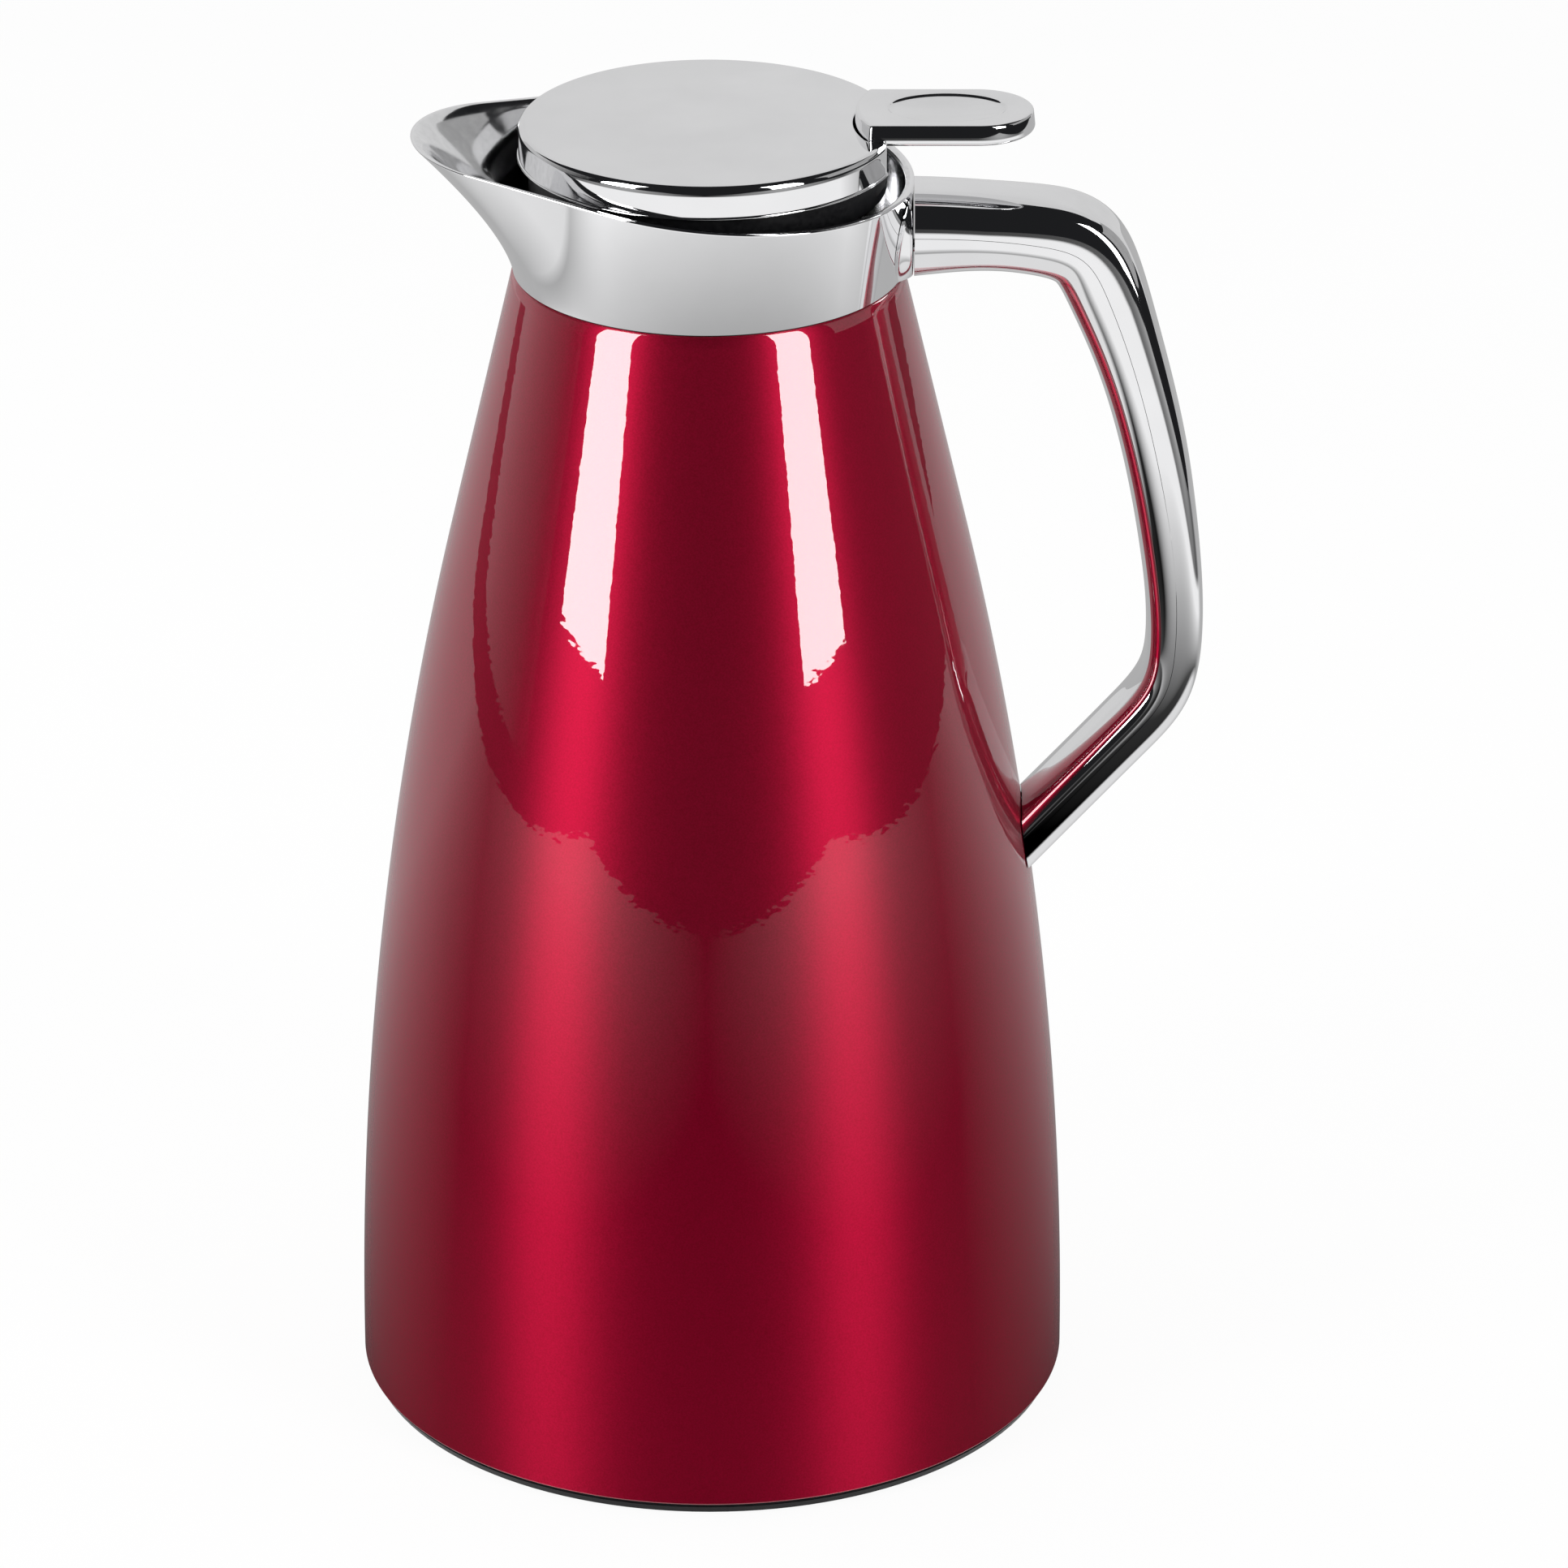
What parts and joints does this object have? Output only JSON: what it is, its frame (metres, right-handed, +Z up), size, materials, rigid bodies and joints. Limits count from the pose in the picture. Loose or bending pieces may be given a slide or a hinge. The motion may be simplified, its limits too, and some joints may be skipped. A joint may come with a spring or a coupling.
{
  "type": "thermal jug",
  "caption": "Thermal jug with a bulging lacquered shell, glass flask, chromed collar with pouring lip, bowed handle and a press-to-pour lid worked by a thumb lever.",
  "frame": {"origin": "On the jug's axis, at the plane it stands on.", "axes": "+Z up along the jug's axis, +X to the handle and thumb lever, -X to the pouring lip; the picture looks along +Y."},
  "size_m": [0.1882, 0.1582, 0.2992],
  "materials": {
    "ruby_lacquer": "ruby metallic lacquer under a glossy clear coat",
    "chrome": "bright chrome plating",
    "black_plastic": "black moulded plastic",
    "black_rubber": "black soft seal",
    "silvered_glass": "blown glass, silvered between its walls",
    "steel": "plain stainless steel"
  },
  "bodies": {
    "jug": {"outer_shell": "ruby_lacquer", "shell_gasket": "black_rubber", "collar": "chrome", "neck_insert": "black_plastic", "mouth_gasket": "black_rubber", "glass_flask": "silvered_glass", "flask_seal_tip": "silvered_glass", "flask_support": "black_rubber", "base_ring": "black_plastic", "base_cap": "black_plastic", "foot_ring": "black_rubber", "handle_outer_shell": "chrome", "handle_inner_shell": "chrome", "handle_upper_screw": "steel", "handle_lower_screw": "steel"},
    "stopper_seal": {"stopper_gasket": "black_rubber"},
    "lid": {"lid_cover": "chrome", "stopper_body": "black_plastic", "lever_pin": "steel", "cover_screw_left": "steel", "cover_screw_right": "steel"},
    "lever": {"thumb_lever": "chrome"},
    "valve": {"valve_stem": "black_plastic", "valve_disc": "black_plastic", "valve_seal": "black_rubber", "stem_clip": "steel", "valve_spring": "steel"}
  },
  "joints": [
    {"name": "lid_lift", "type": "slide", "parent": "jug", "child": "stopper_seal", "axis": [0, 0, 1], "range_m": [0, 0.06]},
    {"name": "lid_turn", "type": "hinge", "parent": "stopper_seal", "child": "lid", "pos_m": [0, 0, 0.28], "axis": [0, 0, 1], "range_deg": [0, 90]},
    {"name": "lever_press", "type": "hinge", "parent": "lid", "child": "lever", "pos_m": [0.024, 0, 0.29], "axis": [0, 1, 0], "range_deg": [0, 10]},
    {"name": "valve_lift", "type": "slide", "parent": "lid", "child": "valve", "axis": [0, 0, 1], "range_m": [0, 0.0046], "stiffness_N_per_m": 115, "springref_m": -0.003, "deforming": ["valve_spring"]}
  ],
  "couplings": [
    {"joint": "valve_lift", "follows": "lever_press", "m_per_rad": 0.0252}
  ]
}
